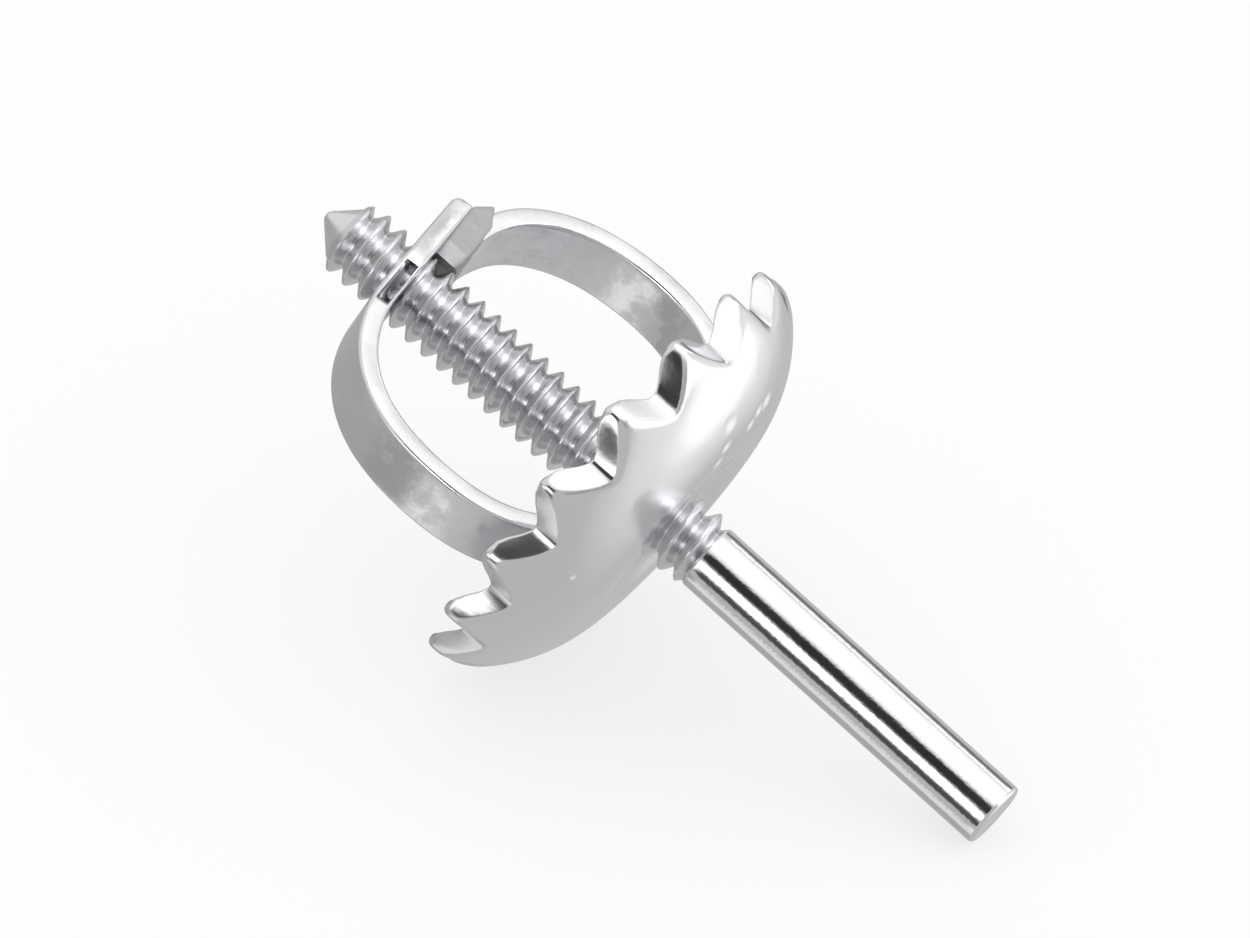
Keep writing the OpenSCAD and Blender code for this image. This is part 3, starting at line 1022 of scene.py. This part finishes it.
def patch_mask(material, size_mm, low, high):
    """White in the higher patches of a slow noise."""
    tree = material.node_tree
    noise = add_node(tree, "ShaderNodeTexNoise", [("Scale", 1 / (size_mm * MM)), ("Detail", 4.0),
                     ("Roughness", 0.65)], [("Vector", place_of(material))])
    return add_node(tree, "ShaderNodeMapRange", [("interpolation_type", "SMOOTHSTEP"), ("From Min", low),
                    ("From Max", high)], [("Value", noise.outputs["Fac"])]).outputs["Result"]


strap = metal("bent silver strap", "#E4E4E6", roughness=0.15, grain_mm=0.08,
              grain_depth_mm=0.0014, wave_mm=0.5, wave_depth_mm=0.010)
blend_into(strap, "Roughness", 0.42, patch_mask(strap, PATCH_MM, PATCH_LOW, PATCH_HIGH))

# %% Solder: grey and dull, its grey partly painted shade
# Part of this grey is painted shade of the concave fillet in the lap; the rest is the solder's own tone.
solder_with_painted_shade = metal("silver solder", "#B0B0B2", roughness=0.42, grain_mm=0.08,
               grain_depth_mm=0.0020, wave_mm=0.3, wave_depth_mm=0.010)
solder_with_painted_shade.node_tree.nodes["Principled BSDF"].inputs["Metallic"].default_value = 0.4

# %% [markdown]
# ## Into the frame
#
# Each finished piece is laid down from its upright place and then takes the place of its plain solid,
# which is hidden. It rides on the body that carries that solid, so it moves when the back is screwed
# along the post, and its finish is its one material.

# %% Dress the frame
def dress(obj, node, material):
    """Finishes a piece, lays it down, and puts it in the place of its CAD node."""
    obj.data.name = obj.name
    obj.data.materials.clear()
    obj.data.materials.append(material)
    obj.matrix_world = LAID_MM @ obj.matrix_world
    apply_place(obj)
    body = next(b for b, nodes in frame["record"]["behaviour"]["bodies"].items() if node in nodes)
    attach(obj, body)
    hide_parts(node)
    print(obj.name, "rides on", body)


dress(post, "post", wire)
dress(cup, "cup", sheet)
dress(bow, "bow", strap)
dress(pool, "foot_solder", solder_with_painted_shade)
dress(seam, "seam_solder", solder_with_painted_shade)

# %% [markdown]
# ## Studio
#
# Polished metal shows its surroundings more than itself, so the studio is designed for what the metal
# reflects: a white tent with lamps, strips and soft boxes, and with dark places for its gaps and for the
# camera. One dark place is a painted reflection of the part's own shadow on the floor. A sky that only
# reflections see holds all of them. Each is a round spot that fades out at its edge. Diffuse light comes
# from an even white sky, and the floor is a plain pale sheet that keeps the part's soft shadow.

# %% Studio: the lights and dark places
TENT = 0.57
# The angle round the post from the camera's side, the angle towards the tip, the half angle of the even
# part, the half angle at which the spot is gone, and the brightness. A later spot covers an earlier one.
SPOTS = {
    "dim wall behind": (-130, 45, 30, 70, 0.44),
    "wall towards the tip": (60, 45, 45, 65, 0.82),
    "low wall behind": (116, -50, 22, 56, 0.95),
    "low lamp behind": (131, -50, 10, 24, 1.40),
    "soft box": (57, 6, 26, 42, 1.22),
    "bulb of the soft box": (52, 8, 12, 22, 3.40),
    "strip beside the soft box": (104, -1, 5, 10, 1.60),
    "low lamp": (62, -42, 10, 20, 2.20),
    "weak low lamp": (84, -45, 8, 16, 1.40),
    "strip at the other side": (-102, 3, 6, 17, 0.85),
    "gap over that strip": (-94, 18, 7, 14, 0.38),
    "bright edge of that strip": (-91, -1, 3, 8, 0.95),
    "grey card": (20, -34, 6, 14, 0.40),
    "camera": (0, 4, 11, 19, 0.03),
    "small soft box": (-33, 6, 9, 15, 1.60),
    "bulb of the small soft box": (-30, 6, 5, 10, 4.00),
    "lamp towards the tip": (-48, 24, 8, 18, 1.30),
    # A dark spot that paints the reflection of the part's own shadow on the floor into the post.
    "painted reflection of the part's shadow": (-59, 2, 7, 14, 0.08),
    "gap behind the strip": (122, 5, 5, 12, 0.20),
}
print("Studio:", len(SPOTS), "lights and dark places")


# %% Studio: the sky
def round_post(angle, along):
    """A direction in the studio: an angle about the post from the camera's side, and one towards the tip."""
    turn = SIDE_TO_CAMERA + math.radians(angle)
    tilt = math.radians(along)
    level = math.cos(tilt)
    return LAID_TURN @ Vector((math.cos(turn) * level, math.sin(turn) * level, math.sin(tilt)))


def add_sky():
    """A white sky whose reflections show the tent, its lights and its dark places."""
    world = bpy.data.worlds.new("studio")
    bpy.context.scene.world = world
    world.use_nodes = True
    tree = world.node_tree
    tree.nodes.clear()
    way = add_node(tree, "ShaderNodeTexCoord").outputs["Generated"]
    brightness = None
    for angle, along, inner, outer, spot_brightness in SPOTS.values():
        near = add_node(tree, "ShaderNodeVectorMath", [("operation", "DOT_PRODUCT"),
                        (1, round_post(angle, along))], [(0, way)])
        mask = add_node(tree, "ShaderNodeMapRange", [("interpolation_type", "SMOOTHSTEP"),
                        ("From Min", math.cos(math.radians(outer))),
                        ("From Max", math.cos(math.radians(inner)))], [("Value", near.outputs["Value"])])
        mix = add_node(tree, "ShaderNodeMix", [("data_type", "FLOAT"), (2, TENT), (3, spot_brightness)],
                       [(0, mask.outputs["Result"])])
        if brightness:
            tree.links.new(brightness, mix.inputs[2])
        brightness = mix.outputs[0]
    tent = add_node(tree, "ShaderNodeBackground", [("Color", (1, 1, 1, 1))], [("Strength", brightness)])
    plain = add_node(tree, "ShaderNodeBackground", [("Color", (1, 1, 1, 1)), ("Strength", 1.0)])
    rays = add_node(tree, "ShaderNodeLightPath")
    choose = add_node(tree, "ShaderNodeMixShader", [], [(0, rays.outputs["Is Glossy Ray"]),
                      (1, plain.outputs[0]), (2, tent.outputs[0])])
    add_node(tree, "ShaderNodeOutputWorld", [], [("Surface", choose.outputs[0])])


add_sky()
bpy.context.scene.view_settings.view_transform = "Standard"
print("The tent's brightness is", TENT)

# %% Studio: the floor
FLOOR_SIZE = 0.4
GLOW_SHARE = 0.65


def add_floor():
    """A pale sheet under the part, which glows a little for the camera so that its shadow stays light."""
    bpy.ops.mesh.primitive_plane_add(size=FLOOR_SIZE)
    floor = bpy.context.object
    floor.name = "floor"
    floor.visible_glossy = False
    material = bpy.data.materials.new("pale paper")
    material.use_nodes = True
    tree = material.node_tree
    shader = tree.nodes["Principled BSDF"]
    shader.inputs["Base Color"].default_value = linear("#FDFDFD")
    shader.inputs["Roughness"].default_value = 1.0
    shader.inputs["Specular IOR Level"].default_value = 0.0
    glow = add_node(tree, "ShaderNodeEmission", [("Color", (1, 1, 1, 1)), ("Strength", 1.0)])
    rays = add_node(tree, "ShaderNodeLightPath")
    share = add_node(tree, "ShaderNodeMath", [("operation", "MULTIPLY"), (1, GLOW_SHARE)],
                     [(0, rays.outputs["Is Camera Ray"])])
    seen = add_node(tree, "ShaderNodeMixShader", [], [(0, share.outputs[0]), (1, shader.outputs[0]),
                    (2, glow.outputs[0])])
    tree.links.new(seen.outputs[0], tree.nodes["Material Output"].inputs["Surface"])
    floor.data.materials.append(material)


add_floor()
print("The floor is", FLOOR_SIZE, "m across")
